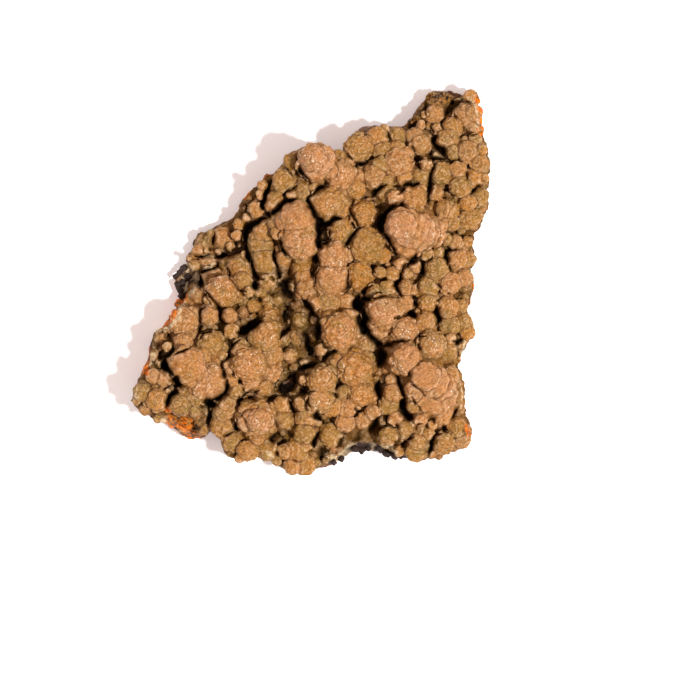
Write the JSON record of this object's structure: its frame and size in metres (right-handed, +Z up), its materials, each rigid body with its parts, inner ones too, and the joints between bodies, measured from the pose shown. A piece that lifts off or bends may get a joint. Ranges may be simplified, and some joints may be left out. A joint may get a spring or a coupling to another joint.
{
  "type": "mottramite specimen",
  "caption": "Hand specimen of botryoidal mottramite: a brown crust of fused beads and domed heads on a broken, iron-stained piece of rock.",
  "frame": {"origin": "on the surface it lies on, under the middle of the specimen", "axes": "+Z up out of the crust, +Y towards the narrow rusty tip, +X towards the side where the crust curls down over the rock"},
  "size_m": [0.0582, 0.0623, 0.0161],
  "materials": {
    "rock": "rough broken rock stained with iron oxides, orange and black in patches, with a cream rind",
    "crust": "finely drusy brown botryoidal crust, pinkish on the high heads and olive in the hollows"
  },
  "bodies": {
    "root": {"matrix": "rock", "mottramite_crust": "crust"}
  },
  "joints": []
}
